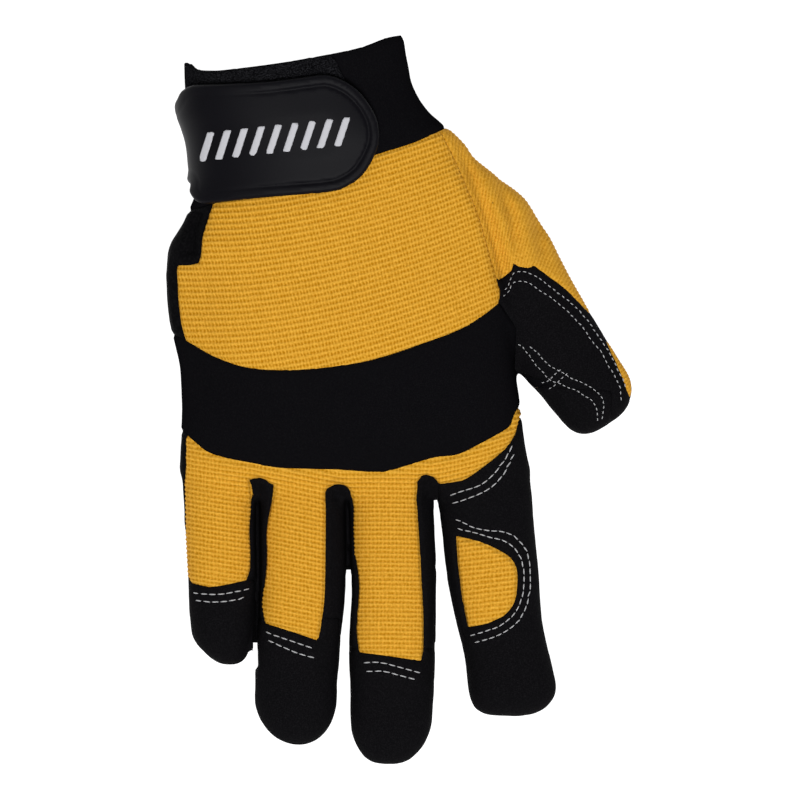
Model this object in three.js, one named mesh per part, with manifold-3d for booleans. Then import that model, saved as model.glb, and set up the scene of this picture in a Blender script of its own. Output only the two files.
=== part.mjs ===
// A right-hand mechanic glove, lying palm down, filled out as a hand leaves it.
// Millimetres, +Z up. The fingers point to -Y, the cuff to +Y and the thumb to +X.
import * as THREE from "three";
import { mergeVertices } from "three/addons/utils/BufferGeometryUtils.js";
import Module from "manifold-3d";

const wasm = await Module();
wasm.setup();

// Driving sizes of the hand
const palmWidth = 112;
const handLength = 148;
const palmDepth = 44;
const fingerLength = 91;
const fingerWidth = 28.6;
const fingerDepth = 24;
const thumbLength = 86;
const thumbWidth = 30.5;
const thumbDepth = 26;
const thumbTurn = THREE.MathUtils.degToRad(32.9);

// Walls and joins
const wall = 1.8;
const seamGap = 0.3;
const seamHeight = 12;
const loopThickness = 1.2;
const strapThickness = 3;
const strapGroove = 0.8;
const strapRim = 3.4;

// One finger each: its root across the palm and its tip drift as shares of palmWidth, its length
// and width as shares of fingerLength and fingerWidth, and where the knit on its back ends as a
// share of its own length
const fingerTable = [
  { name: "little", root: -0.395, drift: 0.022, long: 0.637, wide: 0.811, knitEnd: 0.53 },
  { name: "ring", root: -0.152, drift: -0.02, long: 0.9286, wide: 0.979, knitEnd: 0.545 },
  { name: "middle", root: 0.107, drift: 0.006, long: 1, wide: 1, knitEnd: 0.595 },
  { name: "index", root: 0.386, drift: 0.085, long: 0.8198, wide: 1.105, knitEnd: 1 },
];
const fingers = fingerTable.map((row) => ({
  ...row,
  length: row.long * fingerLength,
  width: row.wide * fingerWidth,
}));

// Rings along the hand from the finger roots to past the cuff mouth. at is a share of handLength,
// left and right are shares of palmWidth, low and high are shares of palmDepth.
const handRows = [
  { at: -0.032, left: -0.455, right: 0.48, low: 0.16, high: 0.42 },
  { at: 0.0, left: -0.49, right: 0.508, low: 0.03, high: 0.6 },
  { at: 0.045, left: -0.503, right: 0.51, low: -0.05, high: 0.7 },
  { at: 0.12, left: -0.506, right: 0.5, low: -0.06, high: 0.79 },
  { at: 0.2, left: -0.509, right: 0.488, low: -0.06, high: 0.86 },
  { at: 0.28, left: -0.515, right: 0.473, low: -0.06, high: 0.92 },
  { at: 0.345, left: -0.535, right: 0.471, low: -0.06, high: 0.95 },
  { at: 0.415, left: -0.55, right: 0.473, low: -0.06, high: 0.97 },
  { at: 0.48, left: -0.553, right: 0.482, low: -0.06, high: 0.98 },
  { at: 0.545, left: -0.541, right: 0.485, low: -0.06, high: 0.99 },
  { at: 0.598, left: -0.503, right: 0.476, low: 0.02, high: 1.0 },
  { at: 0.64, left: -0.482, right: 0.441, low: 0.06, high: 1.0 },
  { at: 0.7, left: -0.47, right: 0.379, low: 0.12, high: 1.01 },
  { at: 0.76, left: -0.468, right: 0.31, low: 0.15, high: 1.03 },
  { at: 0.826, left: -0.468, right: 0.232, low: 0.16, high: 1.05 },
  { at: 0.904, left: -0.472, right: 0.184, low: 0.16, high: 1.07 },
  { at: 0.982, left: -0.491, right: 0.149, low: 0.15, high: 1.09 },
  { at: 1.06, left: -0.491, right: 0.13, low: 0.14, high: 1.1 },
];

// Rings along a finger. at is a share of its length, wide a share of its width,
// low and high are shares of fingerDepth.
const fingerRows = [
  { at: -0.28, wide: 0.7, low: 0.25, high: 0.95 },
  { at: 0.0, wide: 0.94, low: 0.05, high: 1.05 },
  { at: 0.2, wide: 1.0, low: 0.06, high: 1.06 },
  { at: 0.4, wide: 1.0, low: 0.07, high: 1.05 },
  { at: 0.6, wide: 0.985, low: 0.04, high: 1.0 },
  { at: 0.78, wide: 0.97, low: -0.04, high: 0.93 },
  { at: 0.885, wide: 0.89, low: -0.04, high: 0.86 },
  { at: 0.955, wide: 0.68, low: 0.04, high: 0.76 },
  { at: 1.0, wide: 0.34, low: 0.2, high: 0.6 },
];

// Rings along the thumb. at is a share of thumbLength, left and right are shares of thumbWidth
// from its middle line, low and high are shares of thumbDepth.
const thumbRows = [
  { at: -0.19, left: -0.3, right: 0.27, low: 0.45, high: 1.25 },
  { at: -0.03, left: -0.42, right: 0.41, low: 0.28, high: 1.34 },
  { at: 0.12, left: -0.5, right: 0.485, low: 0.12, high: 1.34 },
  { at: 0.26, left: -0.55, right: 0.5, low: 0.06, high: 1.28 },
  { at: 0.4, left: -0.58, right: 0.47, low: 0.02, high: 1.18 },
  { at: 0.54, left: -0.58, right: 0.44, low: 0.0, high: 1.08 },
  { at: 0.67, left: -0.565, right: 0.425, low: 0.0, high: 1.0 },
  { at: 0.8, left: -0.495, right: 0.415, low: 0.0, high: 0.93 },
  { at: 0.91, left: -0.44, right: 0.405, low: 0.0, high: 0.86 },
  { at: 0.965, left: -0.38, right: 0.36, low: 0.05, high: 0.76 },
  { at: 1.0, left: -0.24, right: 0.19, low: 0.2, high: 0.6 },
];

// Where the thumb's middle line starts, as shares of palmWidth and handLength
const thumbRoot = { across: 0.344, along: 0.647 };

// How square the rings are: 2 is an ellipse, more is squarer
const handSquare = 2.7;
const fingerSquare = 2.4;
const handSides = 28;
const fingerSides = 16;

// Joins and cuts on solids

function solidOf(geometry) {
  geometry.deleteAttribute("normal");
  geometry.deleteAttribute("uv");
  const merged = mergeVertices(geometry, 1e-3);
  return new wasm.Manifold(
    new wasm.Mesh({
      numProp: 3,
      vertProperties: merged.attributes.position.array,
      triVerts: new Uint32Array(merged.index.array),
    }),
  );
}

function largestOf(solid) {
  return solid.decompose().reduce((a, b) => (b.volume() > a.volume() ? b : a));
}

function geometryOf(solid) {
  const mesh = solid.getMesh();
  const positions = new Float32Array(mesh.numVert * 3);
  for (let i = 0; i < mesh.numVert; i++) {
    positions.set(mesh.vertProperties.subarray(i * mesh.numProp, i * mesh.numProp + 3), i * 3);
  }
  const geometry = new THREE.BufferGeometry();
  geometry.setAttribute("position", new THREE.BufferAttribute(positions, 3));
  geometry.setIndex(new THREE.BufferAttribute(mesh.triVerts, 1));
  return geometry;
}

// Rings of points joined side to side, with a fan over each end
function loft(rings) {
  const sides = rings[0].length;
  const points = rings.flat();
  const faces = [];
  for (let r = 0; r + 1 < rings.length; r++) {
    for (let k = 0; k < sides; k++) {
      const a = r * sides + k;
      const b = r * sides + ((k + 1) % sides);
      faces.push(a, b, b + sides, a, b + sides, a + sides);
    }
  }
  for (const r of [0, rings.length - 1]) {
    const middle = rings[r].reduce((sum, p) => sum.add(p), new THREE.Vector3()).divideScalar(sides);
    points.push(middle);
    for (let k = 0; k < sides; k++) {
      const a = r * sides + k;
      const b = r * sides + ((k + 1) % sides);
      if (r === 0) faces.push(points.length - 1, b, a);
      else faces.push(points.length - 1, a, b);
    }
  }
  const geometry = new THREE.BufferGeometry();
  geometry.setAttribute(
    "position",
    new THREE.Float32BufferAttribute(points.flatMap((p) => p.toArray()), 3),
  );
  geometry.setIndex(faces);
  return solidOf(geometry.toNonIndexed());
}

// One ring of a lofted form, seen along the limb: a soft rectangle from left to right and from low
// to high. swell moves it outwards, or inwards when negative, and its underside never passes the floor.
function ring(section, swell, square, sides, floor, place) {
  const middle = (section.left + section.right) / 2;
  const half = (section.right - section.left) / 2 + swell;
  const centre = (section.low + section.high) / 2;
  const rise = (section.high - section.low) / 2 + swell;
  const points = [];
  for (let k = 0; k < sides; k++) {
    const turn = (2 * Math.PI * k) / sides;
    const across = Math.sign(Math.cos(turn)) * Math.abs(Math.cos(turn)) ** (2 / square);
    const up = Math.sign(Math.sin(turn)) * Math.abs(Math.sin(turn)) ** (2 / square);
    points.push(place(middle + half * across, Math.max(centre + rise * up, floor)));
  }
  return points;
}

// The hand's body, without fingers or thumb
function handBody(swell) {
  const floor = Math.max(-swell, 0);
  const rings = handRows.map((row) => {
    const tip = row === handRows[0] ? -swell : 0;
    const section = {
      left: row.left * palmWidth,
      right: row.right * palmWidth,
      low: row.low * palmDepth,
      high: row.high * palmDepth,
    };
    const y = row.at * handLength + tip;
    return ring(section, swell, handSquare, handSides, floor, (x, z) => new THREE.Vector3(x, y, z));
  });
  return loft(rings.map((points) => points.reverse()));
}

function finger(shape, swell) {
  const floor = Math.max(-swell, 0);
  const rings = fingerRows.map((row) => {
    const share = Math.max(row.at, 0);
    const middle = (shape.root + shape.drift * share) * palmWidth;
    const half = (row.wide * shape.width) / 2;
    const y = -row.at * shape.length - (row.at > 0.8 ? swell : 0);
    const section = {
      left: middle - half,
      right: middle + half,
      low: row.low * fingerDepth,
      high: row.high * fingerDepth,
    };
    return ring(section, swell, fingerSquare, fingerSides, floor, (x, z) => new THREE.Vector3(x, y, z));
  });
  return loft(rings);
}

function thumb(swell) {
  const floor = Math.max(-swell, 0);
  const along = new THREE.Vector2(Math.sin(thumbTurn), -Math.cos(thumbTurn));
  const across = new THREE.Vector2(Math.cos(thumbTurn), Math.sin(thumbTurn));
  const root = new THREE.Vector2(thumbRoot.across * palmWidth, thumbRoot.along * handLength);
  const rings = thumbRows.map((row) => {
    const reach = row.at * thumbLength + (row.at > 0.9 ? swell : 0);
    const section = {
      left: row.left * thumbWidth,
      right: row.right * thumbWidth,
      low: row.low * thumbDepth,
      high: row.high * thumbDepth,
    };
    return ring(section, swell, fingerSquare, fingerSides, floor, (x, z) => {
      const spot = root.clone().addScaledVector(along, reach).addScaledVector(across, x);
      return new THREE.Vector3(spot.x, spot.y, z);
    });
  });
  return loft(rings);
}

// The whole hand, swollen or shrunk by the same amount all over
function hand(swell) {
  return fingers.reduce((form, shape) => form.add(finger(shape, swell)), handBody(swell)).add(thumb(swell));
}

// Outlines seen from above. A spot's first number is a share of palmWidth from the hand's middle
// line, the second a share of handLength from the finger roots.
function outline(spots) {
  return spots.map(([across, along]) => new THREE.Vector2(across * palmWidth, along * handLength));
}

// An outline moved outwards by a distance. A corner moves further than its edges do, but at a corner
// sharper than this it stops.
const sharpestCorner = 0.35;

function grown(points, distance) {
  const turn = THREE.ShapeUtils.area(points) > 0 ? 1 : -1;
  return points.map((point, i) => {
    const before = points[(i + points.length - 1) % points.length];
    const after = points[(i + 1) % points.length];
    const coming = point.clone().sub(before).normalize();
    const going = after.clone().sub(point).normalize();
    const edgeNormal = new THREE.Vector2(coming.y, -coming.x).multiplyScalar(turn);
    const cornerNormal = new THREE.Vector2(coming.y + going.y, -coming.x - going.x);
    cornerNormal.multiplyScalar(turn).normalize();
    const share = Math.max(cornerNormal.dot(edgeNormal), sharpestCorner);
    return point.clone().addScaledVector(cornerNormal, distance / share);
  });
}

function prism(points, low, high) {
  const geometry = new THREE.ExtrudeGeometry(new THREE.Shape(points), {
    depth: high - low,
    bevelEnabled: false,
    steps: 1,
  });
  geometry.translate(0, 0, low);
  return solidOf(geometry);
}

const above = 2 * palmDepth;
const below = -palmDepth;

// Edges that neighbouring panels share, each from the little finger's side to the thumb's
const mouthEdge = outline([
  [-0.56, 0.925], [-0.47, 0.932], [-0.382, 0.938], [-0.158, 0.96], [0.007, 0.982], [0.2, 1.02],
]);
const cuffEdge = outline([
  [-0.6, 0.6], [-0.423, 0.638], [-0.158, 0.69], [0.072, 0.746], [0.258, 0.801], [0.4, 0.845],
]);
const bandTop = outline([
  [-0.6, 0.35], [-0.494, 0.324], [-0.409, 0.292], [-0.32, 0.272], [-0.217, 0.265], [-0.099, 0.268],
  [0.049, 0.287], [0.196, 0.323], [0.314, 0.357], [0.388, 0.39], [0.435, 0.42],
]);
const bandLow = outline([
  [-0.6, 0.135], [-0.453, 0.092], [-0.364, 0.068], [-0.276, 0.054], [-0.187, 0.046], [0.049, 0.043],
  [0.137, 0.054], [0.226, 0.078], [0.314, 0.103], [0.403, 0.136], [0.462, 0.167], [0.52, 0.205],
]);
const guardTop = outline([
  [0.235, 0.003], [0.299, 0.022], [0.373, 0.051], [0.432, 0.089], [0.476, 0.134], [0.51, 0.185],
]);
const ridge = outline([
  [0.435, 0.42], [0.429, 0.455], [0.403, 0.525], [0.373, 0.603], [0.338, 0.67], [0.299, 0.737],
  [0.25, 0.81],
]);
const thumbEdge = outline([
  [0.43, 0.455], [0.456, 0.482], [0.485, 0.498], [0.541, 0.493], [0.586, 0.467], [0.65, 0.43],
  [0.733, 0.35], [0.78, 0.29], [0.86, 0.2],
]);

// A spot on a finger's plan, by shares of its width across and of its length along
function fingerSpot(shape, side, share) {
  const middleLine = (shape.root + shape.drift * Math.max(share, 0)) * palmWidth;
  return new THREE.Vector2(middleLine + side * shape.width, -share * shape.length);
}

// The plan of the knit on the back of a finger, from the knuckle band to the stitched tip
function tongueZone(shape, left, right) {
  const intoStrip = -0.09;
  return [
    fingerSpot(shape, left, intoStrip),
    fingerSpot(shape, left, 0.1),
    fingerSpot(shape, left, shape.knitEnd),
    fingerSpot(shape, (left + right) / 2, shape.knitEnd + 0.02),
    fingerSpot(shape, right, shape.knitEnd),
    fingerSpot(shape, right, 0.1),
    fingerSpot(shape, right, intoStrip),
  ];
}

// The plan of a finger's leather tip, and of the sides up to the next fingers
function tipZone(shape) {
  const side = 0.5 + (0.5 * seamGap) / shape.width;
  return [
    fingerSpot(shape, -side, shape.knitEnd),
    fingerSpot(shape, -side, 1.3),
    fingerSpot(shape, side, 1.3),
    fingerSpot(shape, side, shape.knitEnd),
  ];
}

// The plan of the strip between two fingers, which forms their facing sides and the web
function sideStripZone(shape, next) {
  return [
    fingerSpot(shape, 0.2, -0.09),
    fingerSpot(shape, 0.2, shape.knitEnd),
    fingerSpot(next, -0.52, (shape.knitEnd * shape.length) / next.length),
    fingerSpot(next, -0.52, next.knitEnd),
    fingerSpot(next, -0.2, next.knitEnd),
    fingerSpot(next, -0.2, -0.09),
  ];
}

const reversed = (points) => [...points].reverse();
const [little, ringFinger, middle, index] = fingers;

const windowZone = outline([
  [0.3, -0.105], [0.344, -0.114], [0.403, -0.129], [0.447, -0.147], [0.476, -0.174], [0.48, -0.205],
  [0.473, -0.246], [0.453, -0.279], [0.417, -0.297], [0.373, -0.308], [0.33, -0.312], [0.31, -0.205],
]);
const guardZone = [
  ...guardTop,
  ...outline([[0.6, 0.185], [0.72, -0.6], [0.34, -0.6], [0.28, -0.2], [0.235, -0.06]]),
];
const stripZone = [...reversed(bandLow), ...outline([[-0.6, 0.02], [0.235, 0.02]]), ...guardTop];
const bandRight = outline([[0.442, 0.406], [0.476, 0.36], [0.475, 0.27], [0.51, 0.24], [0.57, 0.215]]);
const bandZone = [...bandTop, ...bandRight, ...reversed(bandLow)];
const backZone = [
  ...reversed(bandTop),
  ...outline([[-0.53, 0.494], [-0.459, 0.504], [-0.441, 0.576], [-0.409, 0.6]]),
  ...outline([[-0.409, 0.7], [0.2, 0.9]]),
  ...reversed(ridge),
];
const thumbBackZone = [...ridge, ...outline([[0.5, 0.95], [0.95, 0.6], [0.95, 0.2]]), ...reversed(thumbEdge)];
const thumbGuardZone = [...thumbEdge, ...outline([[0.86, 0.05], [0.6, 0.05], [0.49, 0.25], [0.44, 0.4]])];
const cuffZone = [...cuffEdge, ...outline([[0.6, 0.9], [0.6, 1.2], [-0.7, 1.2], [-0.7, 0.6]])];
const beyondMouth = [...mouthEdge, ...outline([[0.6, 1.1], [0.6, 1.3], [-0.8, 1.3], [-0.8, 0.9]])];

// Cutting the shell into its panels

const outside = hand(0);
const hollow = hand(-wall);
const glove = outside.subtract(hollow).subtract(prism(beyondMouth, below, above));

const leather = new THREE.MeshStandardMaterial({ color: "#18171a", roughness: 0.62, metalness: 0 });
const knit = new THREE.MeshStandardMaterial({ color: "#e0a126", roughness: 0.85, metalness: 0 });
const neoprene = new THREE.MeshStandardMaterial({ color: "#111114", roughness: 0.9, metalness: 0 });
const velour = new THREE.MeshStandardMaterial({ color: "#141416", roughness: 1, metalness: 0 });
const rubber = new THREE.MeshStandardMaterial({ color: "#222227", roughness: 0.42, metalness: 0 });

const glovePieces = new THREE.Group();

function addPiece(name, solid, material) {
  const mesh = new THREE.Mesh(geometryOf(largestOf(solid)), material);
  mesh.name = name;
  glovePieces.add(mesh);
}

let uncut = glove;

// Cuts one panel out of what is left of the glove, with a gap all round for its seam
function cutPanel(name, zones, low, material) {
  const zone = zones.map((z) => prism(z, low, above)).reduce((a, b) => a.add(b));
  const clearance = zones
    .map((z) => prism(grown(z, seamGap), low - seamGap, above + 1))
    .reduce((a, b) => a.add(b));
  addPiece(name, uncut.intersect(zone), material);
  uncut = uncut.subtract(clearance);
}

cutPanel("cuff", [cuffZone], below, neoprene);
cutPanel("index_window", [windowZone], seamHeight, knit);
cutPanel("index_guard", [guardZone], seamHeight, leather);
const tongueZones = [
  tongueZone(little, -0.6, 0.42),
  tongueZone(ringFinger, -0.4, 0.3),
  tongueZone(middle, -0.6, 0.33),
];
cutPanel("finger_knit", [stripZone, ...tongueZones], seamHeight, knit);
for (const shape of [little, ringFinger, middle]) {
  cutPanel(shape.name + "_tip", [tipZone(shape)], seamHeight, leather);
}
cutPanel("knuckle_band", [bandZone], seamHeight, neoprene);
cutPanel("back_panel", [backZone], seamHeight, knit);
cutPanel("thumb_back", [thumbBackZone], seamHeight, knit);
cutPanel("thumb_guard", [thumbGuardZone], seamHeight, leather);
cutPanel("little_ring_strip", [sideStripZone(little, ringFinger)], seamHeight, leather);
cutPanel("ring_middle_strip", [sideStripZone(ringFinger, middle)], seamHeight, leather);
cutPanel("middle_index_strip", [sideStripZone(middle, index)], seamHeight, leather);
addPiece("palm", uncut, leather);

// The closure on the cuff: a loop patch, and over it a moulded tab that wraps the wrist
// from the little finger's side

const loopLow = seamGap;
const strapLow = loopLow + loopThickness + seamGap;
const layer = (low, high) => handBody(high).subtract(handBody(low));

const loopZone = outline([
  [-0.7, 0.95], [-0.494, 0.945], [-0.379, 0.95], [-0.158, 0.965], [-0.084, 0.971], [-0.046, 0.946],
  [-0.025, 0.911], [-0.02, 0.82], [-0.06, 0.78], [-0.7, 0.78],
]);
addPiece(
  "loop_patch",
  layer(loopLow, loopLow + loopThickness)
    .intersect(prism(loopZone, 0.6 * palmDepth, above))
    .subtract(prism(grown(beyondMouth, seamGap), below, above)),
  velour,
);

const strapZone = outline([
  [-0.7, 0.885], [-0.5, 0.889], [-0.246, 0.897], [-0.1, 0.907], [-0.03, 0.9], [0.025, 0.876],
  [0.06, 0.833], [0.072, 0.78], [0.06, 0.735], [0.025, 0.702], [-0.03, 0.681], [-0.158, 0.655],
  [-0.423, 0.641], [-0.49, 0.65], [-0.7, 0.672],
]);
const strapRoot = outline([[-0.7, 0.86], [-0.2, 0.86], [-0.2, 0.7], [-0.7, 0.7]]);
const strapTop = strapLow + strapThickness;
const strapTab = prism(strapZone, 0.5 * palmDepth, above);
const strapPanel = prism(grown(strapZone, -strapRim), 0.5 * palmDepth, above);
const strapUnder = prism(strapRoot, below, 0.6 * palmDepth);
addPiece(
  "wrist_strap",
  layer(strapLow, strapTop)
    .intersect(strapTab.add(strapUnder))
    .subtract(layer(strapTop - strapGroove, above).intersect(strapPanel)),
  rubber,
);

// The origin is the middle of the box that the glove fills, on the surface that it lies on
const box = new THREE.Box3().setFromObject(glovePieces);
const boxMiddle = box.getCenter(new THREE.Vector3());
glovePieces.position.set(-boxMiddle.x, -boxMiddle.y, -box.min.z);

export default new THREE.Group().add(glovePieces);
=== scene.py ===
import math

import bpy
import numpy as np
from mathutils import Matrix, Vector, kdtree


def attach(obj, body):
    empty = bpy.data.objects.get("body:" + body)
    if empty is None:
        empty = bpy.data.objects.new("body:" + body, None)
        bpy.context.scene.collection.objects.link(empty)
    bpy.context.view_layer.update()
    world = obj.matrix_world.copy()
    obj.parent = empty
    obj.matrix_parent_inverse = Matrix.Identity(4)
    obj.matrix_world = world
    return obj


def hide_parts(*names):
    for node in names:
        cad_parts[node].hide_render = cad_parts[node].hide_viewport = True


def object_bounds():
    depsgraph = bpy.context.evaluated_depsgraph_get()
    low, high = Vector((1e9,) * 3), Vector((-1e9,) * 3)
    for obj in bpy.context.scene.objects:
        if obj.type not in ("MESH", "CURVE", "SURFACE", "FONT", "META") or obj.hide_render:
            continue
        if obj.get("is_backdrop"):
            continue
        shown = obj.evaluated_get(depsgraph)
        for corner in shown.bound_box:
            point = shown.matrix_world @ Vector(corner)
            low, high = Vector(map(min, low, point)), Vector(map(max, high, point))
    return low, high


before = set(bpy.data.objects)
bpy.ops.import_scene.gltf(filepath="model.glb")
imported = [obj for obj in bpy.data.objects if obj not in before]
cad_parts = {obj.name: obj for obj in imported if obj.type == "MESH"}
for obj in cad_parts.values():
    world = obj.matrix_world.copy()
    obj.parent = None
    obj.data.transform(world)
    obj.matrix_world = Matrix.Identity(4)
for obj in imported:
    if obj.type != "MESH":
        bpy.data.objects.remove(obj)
cad_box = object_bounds()

# The surface that the glove lies on, soft studio light, and a camera straight above the back of
# the hand. Lengths in this file are millimetres until a mesh is made.
MM = 0.001
picture_width = 264.0
camera_height = 4000.0
view_level = 22.0
scene = bpy.context.scene
scene.view_settings.view_transform = "Standard"

camera = bpy.data.cameras.new("camera")
camera.angle = 2 * math.atan(picture_width / 2 / (camera_height - view_level))
camera.clip_end = 10
camera_object = bpy.data.objects.new("camera", camera)
camera_object.location = (0, 0, camera_height * MM)
scene.collection.objects.link(camera_object)
scene.camera = camera_object


def new_material(name):
    material = bpy.data.materials.new(name)
    material.use_nodes = True
    material.node_tree.nodes.clear()
    return material


def add_node(tree, kind, inputs=None, **settings):
    """A node of that kind, with its settings and the values or links of its inputs."""
    node = tree.nodes.new(kind)
    for key, value in settings.items():
        setattr(node, key, value)
    for key, value in (inputs or {}).items():
        if isinstance(value, bpy.types.NodeSocket):
            tree.links.new(value, node.inputs[key])
        else:
            node.inputs[key].default_value = value
    return node


def finish_material(material, color, roughness, specular, normal=None, **constants):
    """The shader of a material: colour, roughness and normal may be links."""
    tree = material.node_tree
    inputs = {"Base Color": color, "Roughness": roughness, "Specular IOR Level": specular, **constants}
    if normal is not None:
        inputs["Normal"] = normal
    shader = add_node(tree, "ShaderNodeBsdfPrincipled", inputs)
    add_node(tree, "ShaderNodeOutputMaterial", {"Surface": shader.outputs["BSDF"]})
    return material


floor_size = 6.0
floor_mesh = bpy.data.meshes.new("surface")
half = floor_size / 2
corners = [(-half, -half, 0), (half, -half, 0), (half, half, 0), (-half, half, 0)]
floor_mesh.from_pydata(corners, [], [(0, 1, 2, 3)])
floor = bpy.data.objects.new("surface", floor_mesh)
scene.collection.objects.link(floor)
glow = {"Emission Color": (1, 1, 1, 1), "Emission Strength": 1.0}
surface = finish_material(new_material("surface"), (0.35, 0.35, 0.35, 1), 0.9, 0.5, **glow)
floor_mesh.materials.append(surface)
floor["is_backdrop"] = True

world = bpy.data.worlds.new("studio")
world.use_nodes = True
world.node_tree.nodes["Background"].inputs["Color"].default_value = (1, 1, 1, 1)
world.node_tree.nodes["Background"].inputs["Strength"].default_value = 0.22
scene.world = world


def soft_light(name, place, size, power):
    """A square softbox at a place, facing the glove."""
    light = bpy.data.lights.new(name, "AREA")
    light.size = size
    light.energy = power
    lamp = bpy.data.objects.new(name, light)
    lamp.location = place
    lamp.rotation_euler = Vector(place).to_track_quat("Z", "Y").to_euler()
    scene.collection.objects.link(lamp)


soft_light("key", (0.1, -0.6, 1.82), 0.6, 32)
soft_light("fill", (-0.6, 0.9, 1.6), 1.0, 3)

# The skin of the hand that the glove is filled to. Every limb is a soft rectangle swept along a
# middle line: at is the distance along it, left and right are the edges across it, low and high
# are heights. Past cap_from the limb closes like an egg and ends at cap_to.
hand_rows = [
    {"at": -122.9, "left": -69.8, "right": 0.4, "low": 6.5, "high": 48.5},
    {"at": -111.0, "left": -70.1, "right": 2.6, "low": 6.8, "high": 47.8},
    {"at": -100.8, "left": -69.8, "right": 5.4, "low": 7.0, "high": 47.0},
    {"at": -94.9, "left": -69.2, "right": 9.6, "low": 7.0, "high": 46.6},
    {"at": -90.3, "left": -67.6, "right": 14.6, "low": 6.8, "high": 46.2},
    {"at": -86.0, "left": -66.3, "right": 20.2, "low": 6.4, "high": 45.8},
    {"at": -79.4, "left": -65.4, "right": 25.2, "low": 5.2, "high": 45.2},
    {"at": -72.8, "left": -65.4, "right": 31.0, "low": 4.0, "high": 44.8},
    {"at": -66.0, "left": -68.3, "right": 36.0, "low": 1.7, "high": 44.3},
    {"at": -58.9, "left": -71.4, "right": 38.2, "low": -0.5, "high": 43.9},
    {"at": -51.3, "left": -75.7, "right": 38.8, "low": -2.0, "high": 43.5},
    {"at": -41.4, "left": -77.1, "right": 39.1, "low": -2.6, "high": 43.1},
    {"at": -31.5, "left": -76.7, "right": 38.1, "low": -2.6, "high": 42.7},
    {"at": -21.6, "left": -75.1, "right": 37.5, "low": -2.6, "high": 42.0},
    {"at": -11.7, "left": -72.8, "right": 37.8, "low": -2.6, "high": 41.0},
    {"at": -0.2, "left": -72.1, "right": 39.4, "low": -2.6, "high": 38.6},
    {"at": 13.0, "left": -72.4, "right": 41.1, "low": -2.4, "high": 35.0},
    {"at": 22.9, "left": -72.6, "right": 42.4, "low": -2.2, "high": 31.4},
    {"at": 29.5, "left": -72.4, "right": 43.4, "low": -1.0, "high": 28.0},
    {"at": 37.8, "left": -70.5, "right": 44.4, "low": 1.0, "high": 24.0},
]
little_rows = [
    {"at": 9.7, "left": -71.6, "right": -48.7, "low": 2.0, "high": 24.0},
    {"at": 29.5, "left": -71.7, "right": -47.7, "low": 1.5, "high": 25.0},
    {"at": 46.0, "left": -70.8, "right": -47.2, "low": 1.7, "high": 24.6},
    {"at": 59.2, "left": -70.1, "right": -47.0, "low": 1.0, "high": 23.6},
    {"at": 72.4, "left": -69.5, "right": -48.2, "low": -0.6, "high": 22.0},
    {"at": 80.0, "left": -68.4, "right": -48.3, "low": -0.6, "high": 20.8},
    {"at": 87.9, "left": -64.6, "right": -47.6, "low": -0.6, "high": 19.5},
]
ring_rows = [
    {"at": 9.7, "left": -45.4, "right": -19.6, "low": 2.0, "high": 26.0},
    {"at": 29.5, "left": -46.4, "right": -18.3, "low": 1.5, "high": 27.0},
    {"at": 46.0, "left": -46.7, "right": -17.7, "low": 1.8, "high": 27.0},
    {"at": 65.8, "left": -46.7, "right": -18.0, "low": 1.8, "high": 26.0},
    {"at": 79.0, "left": -47.4, "right": -19.6, "low": 0.8, "high": 25.0},
    {"at": 92.2, "left": -47.9, "right": -20.6, "low": -0.6, "high": 23.8},
    {"at": 102.1, "left": -47.9, "right": -20.9, "low": -0.8, "high": 22.5},
    {"at": 114.0, "left": -46.4, "right": -21.2, "low": -0.6, "high": 20.5},
]
middle_rows = [
    {"at": 9.7, "left": -15.7, "right": 8.4, "low": 2.0, "high": 26.5},
    {"at": 29.5, "left": -17.0, "right": 10.7, "low": 1.5, "high": 27.5},
    {"at": 46.0, "left": -16.7, "right": 11.7, "low": 1.8, "high": 27.5},
    {"at": 65.8, "left": -16.3, "right": 12.0, "low": 2.0, "high": 26.6},
    {"at": 82.3, "left": -17.0, "right": 11.7, "low": 1.0, "high": 25.4},
    {"at": 98.8, "left": -16.3, "right": 11.1, "low": -0.6, "high": 23.8},
    {"at": 107.1, "left": -16.3, "right": 10.4, "low": -0.8, "high": 22.6},
    {"at": 120.6, "left": -15.7, "right": 8.1, "low": -0.6, "high": 20.5},
]
index_rows = [
    {"at": 9.7, "left": 13.4, "right": 40.6, "low": 2.0, "high": 26.0},
    {"at": 29.5, "left": 12.4, "right": 43.4, "low": 1.5, "high": 27.0},
    {"at": 46.0, "left": 14.0, "right": 44.7, "low": 1.8, "high": 26.6},
    {"at": 59.2, "left": 15.7, "right": 46.0, "low": 1.6, "high": 25.8},
    {"at": 72.4, "left": 18.3, "right": 47.0, "low": 0.8, "high": 24.6},
    {"at": 85.6, "left": 21.4, "right": 49.7, "low": -0.6, "high": 23.2},
    {"at": 95.5, "left": 22.6, "right": 51.8, "low": -0.8, "high": 22.0},
    {"at": 104.4, "left": 22.4, "right": 50.0, "low": -0.6, "high": 20.0},
]
thumb_rows = [
    {"at": -16.0, "left": -9.0, "right": 0.5, "low": 12.0, "high": 30.0},
    {"at": -3.0, "left": -13.0, "right": 10.0, "low": 7.0, "high": 34.0},
    {"at": 10.0, "left": -15.5, "right": 15.2, "low": 3.0, "high": 35.0},
    {"at": 22.0, "left": -16.8, "right": 15.4, "low": 1.5, "high": 33.5},
    {"at": 34.0, "left": -17.5, "right": 14.3, "low": 0.5, "high": 30.8},
    {"at": 46.0, "left": -17.5, "right": 13.4, "low": -0.5, "high": 28.2},
    {"at": 57.0, "left": -17.1, "right": 12.9, "low": -0.8, "high": 26.0},
    {"at": 69.0, "left": -15.4, "right": 12.7, "low": -0.8, "high": 24.2},
    {"at": 80.0, "left": -14.2, "right": 12.1, "low": -0.7, "high": 22.8},
    {"at": 88.5, "left": -13.4, "right": 8.8, "low": -0.6, "high": 21.5},
]
thumb_turn = math.radians(32.9)
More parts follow.
